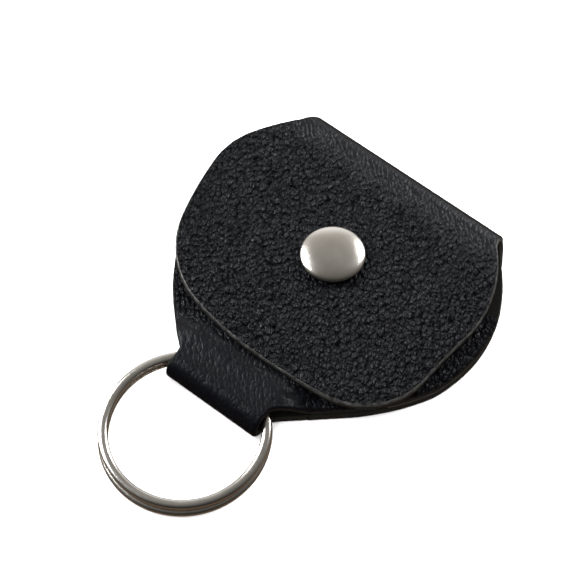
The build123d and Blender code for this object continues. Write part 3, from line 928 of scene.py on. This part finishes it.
def cap_profile():
    """Section of the cap: a shallow dome, a short straight side and an edge rolled in underneath."""
    radius, top, seat = (cap_high.x - cap_low.x) / 2, cap_high.z, cap_low.z
    share = np.sin(np.linspace(0, math.pi / 2, 44)) ** 0.8
    crown = [(radius * r, top - DOME + DOME * math.sqrt(max(0, 1 - r**DOME_POWER))) for r in share]
    shoulder = top - DOME - 0.1
    side = [(radius, seat + 0.4), (radius - 0.05, seat + 0.2)]
    rolled = [(radius - 0.18, seat + 0.06), (radius - 0.4, seat), (radius - 1.0, seat)]
    lip = [(radius - 1.1, seat + 0.1), (radius - 1.1, seat + 0.3), (radius - 0.4, seat + 0.36)]
    inside_wall = [(radius - 0.4, shoulder), (radius - 1.6, top - 0.9), (0, top - 0.4)]
    return [*crown, *side, *rolled, *lip, *inside_wall]


cap_cover = lathe("cap_cover", cap_profile(), CAP_NICKEL)
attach(cap_cover, "flap")
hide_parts("cap")

RING_OUTER = 16.0  # radius of the split ring
RING_WIDTH = 1.9  # width of its flat wire
RING_WIRE = 1.35  # thickness of the wire
WIRE_POWER = 0.9  # below 1 the wire's section has flatter sides
TURN_RISE = RING_WIRE + 0.04  # from one turn to the other
STEP_TURN = 36.0  # degrees over which the wire steps up
STEP_START = 90 - STEP_TURN / 2
END_GAP = 1.5  # degrees between each end of the wire and the step
SLIP_OUT, SLIP_IN = 0.2, 0.5  # at one side of the ring the lower turn has slipped out and the upper turn in
SLIP_AT = math.radians(300)  # where on the ring that is


def split_ring():
    """Two turns of flat wire, one on the other, with a step from the lower turn up to the upper one."""
    joint = joints["ring_turn"]
    centre = np.array(joint["pos_m"]) / MM
    axis = np.array(joint["axis"])
    side = np.array([1.0, 0, 0])
    ahead = np.cross(axis, side)
    half_w, half_h = RING_WIDTH / 2, RING_WIRE / 2
    turns = np.linspace(0, 2 * math.pi, 28, endpoint=False)
    section = [
        (half_w * math.copysign(abs(math.cos(a)) ** WIRE_POWER, math.cos(a)),
         half_h * math.copysign(abs(math.sin(a)) ** WIRE_POWER, math.sin(a)))
        for a in turns
    ]
    first, last = STEP_START + STEP_TURN + END_GAP, STEP_START + 720 - END_GAP
    rows = []
    for angle in np.linspace(first, last, 560):
        share = np.clip((angle - STEP_START - 360) / STEP_TURN, 0, 1)
        rise = TURN_RISE * (share**2 * (3 - 2 * share) - 0.5)
        turn = math.radians(angle)
        outward = side * math.cos(turn) + ahead * math.sin(turn)
        lower = 0.5 - rise / TURN_RISE
        slipped = max(0, math.cos(turn - SLIP_AT)) * (SLIP_OUT * lower - SLIP_IN * (1 - lower))
        middle = centre + outward * (RING_OUTER - half_w + slipped) + axis * rise
        rows.append([middle + outward * across + axis * up for across, up in section])
    return grid_mesh("ring_wire", rows, False, RING_NICKEL)


ring_wire = split_ring()
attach(ring_wire, "ring")
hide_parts("split_ring")

for node in ("stud", "stud_rivet", "socket", "cap_rivet"):
    put_material(node, PLAIN_NICKEL)
put_material("socket_spring", RING_NICKEL)


def seam_bead():
    """The glue bead between the panels, shifted sideways with them."""
    glue = frame["nodes"]["seam_glue"]
    mesh = glue.data.copy()
    corners = np.array([glue.matrix_world @ vertex.co for vertex in mesh.vertices]) / MM
    corners[:, 0] = shifted(corners[:, 0], back_s(corners[:, 1]))
    mesh.vertices.foreach_set("co", (corners * MM).ravel())
    mesh.materials.clear()
    mesh.materials.append(glue_material())
    mesh.update()
    return new_piece("seam_bead", mesh)


seam = seam_bead()
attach(seam, "case")
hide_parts("seam_glue")

# ---- floor, light and camera ------------------------------------------------------------------------

AZIMUTH, ELEVATION = 38.3, 58.5  # the camera's place round the object, degrees
CAMERA_DISTANCE = 0.341  # metres
LENS = 112.5  # focal length in mm
AIM_RIGHT, AIM_UP = -0.0085, -0.0066  # where the camera aims, from the cap's top, in metres across the view
LIGHT_DISTANCE = 0.7  # metres


def view_axes(azimuth, elevation):
    """Unit vectors from the object to a place round it, to the right there, and up."""
    a, e = math.radians(azimuth), math.radians(elevation)
    back = Vector((math.sin(a) * math.cos(e), -math.cos(a) * math.cos(e), math.sin(e)))
    right = Vector((math.cos(a), math.sin(a), 0))
    return back, right, back.cross(right)


def facing(name, data, spot, back):
    """A light or camera at a spot, looking along -back."""
    thing = new_piece(name, data)
    thing.location = spot
    thing.rotation_mode = "QUATERNION"
    thing.rotation_quaternion = (-back).to_track_quat("-Z", "Y")
    return thing


def make_camera():
    """Camera with a long lens, above and in front of the neck's right side."""
    back, right, up = view_axes(AZIMUTH, ELEVATION)
    target = Vector((0, STUD_Y, cap_high.z - 1)) * MM + right * AIM_RIGHT + up * AIM_UP
    data = bpy.data.cameras.new("camera")
    data.lens = LENS
    data.clip_start = 0.01
    bpy.context.scene.camera = facing("camera", data, target + back * CAMERA_DISTANCE, back)


def soft_box(name, azimuth, elevation, size, power):
    """A rectangular soft box round the object, facing it."""
    back, _, _ = view_axes(azimuth, elevation)
    data = bpy.data.lights.new(name, "AREA")
    data.shape = "RECTANGLE"
    data.size, data.size_y = size
    data.energy = power
    facing(name, data, back * LIGHT_DISTANCE, back)


def make_lights():
    """Soft boxes behind the object at both sides, and a broad light from above that gives no glints."""
    soft_box("left_box", AZIMUTH - 116, 34, size=(0.40, 0.46), power=6.8)
    soft_box("right_box", AZIMUTH + 132, 30, size=(0.28, 0.36), power=3.2)
    data = bpy.data.lights.new("sky_fill", "SUN")
    data.energy = 7.5
    data.angle = math.radians(100)
    fill = facing("sky_fill", data, Vector((0, 0, 1)), Vector((0, 0, 1)))
    fill.visible_glossy = False


# brightness of the surroundings, from in front of the object (0) to behind it (1), warm where it is low
GLOW = ((0.2, 0.025), (0.5, 0.115), (0.83, 0.21), (0.93, 0.39), (1.0, 0.8))
WARM = (1, 0.95, 0.87)
WARM_BELOW = 0.4
BROWN_GROUND = (0.13, 0.09, 0.06, 1)


def make_world():
    """Surroundings: white to the camera; for light and reflections brightest low down behind the object."""
    world = bpy.data.worlds.new("studio")
    world.use_nodes = True
    tree = world.node_tree
    background = tree.nodes["Background"]

    def math_node(operation, first, second):
        """The operation on a socket, with the same number as its second and its third input."""
        node = tree.nodes.new("ShaderNodeMath")
        node.operation = operation
        node.inputs[1].default_value = node.inputs[2].default_value = second
        tree.links.new(first, node.inputs[0])
        return node.outputs[0]

    direction = tree.nodes.new("ShaderNodeTexCoord").outputs["Generated"]
    towards = tree.nodes.new("ShaderNodeVectorMath")
    towards.operation = "DOT_PRODUCT"
    towards.inputs[1].default_value = view_axes(AZIMUTH + 180, 10)[0]
    tree.links.new(direction, towards.inputs[0])
    glow = tree.nodes.new("ShaderNodeValToRGB")
    tree.links.new(math_node("MULTIPLY_ADD", towards.outputs["Value"], 0.5), glow.inputs["Fac"])
    for share, level in GLOW:
        stop = glow.color_ramp.elements.new(share)
        stop.color = (*(level * (part if level < WARM_BELOW else 1) for part in WARM), 1)
    for end in (0, -1):
        glow.color_ramp.elements.remove(glow.color_ramp.elements[end])
    split = tree.nodes.new("ShaderNodeSeparateXYZ")
    tree.links.new(direction, split.inputs[0])
    above = math_node("GREATER_THAN", split.outputs["Z"], 0.0)
    ground = tree.nodes.new("ShaderNodeMix")
    ground.data_type = "RGBA"
    ground.inputs[6].default_value = BROWN_GROUND
    tree.links.new(above, ground.inputs["Factor"])
    tree.links.new(glow.outputs["Color"], ground.inputs[7])
    camera_ray = tree.nodes.new("ShaderNodeLightPath").outputs["Is Camera Ray"]
    seen = tree.nodes.new("ShaderNodeMix")
    seen.data_type = "RGBA"
    seen.inputs[7].default_value = (1, 1, 1, 1)
    tree.links.new(camera_ray, seen.inputs["Factor"])
    tree.links.new(ground.outputs[2], seen.inputs[6])
    tree.links.new(seen.outputs[2], background.inputs["Color"])
    bpy.context.scene.world = world


def make_floor():
    """White table, left out of reflections so that metal and leather keep their dark undersides."""
    half = 3.0
    corners = [(-half, -half, 0), (half, -half, 0), (half, half, 0), (-half, half, 0)]
    mesh = bpy.data.meshes.new("floor")
    mesh.from_pydata(corners, [], [(0, 1, 2, 3)])
    mesh.materials.append(pale_floor())
    floor = new_piece("floor", mesh)
    floor.location.z = -0.2 * MM  # level with the grain of the underside
    floor.visible_glossy = False


make_camera()
make_lights()
make_world()
make_floor()
bpy.context.scene.view_settings.view_transform = "Standard"
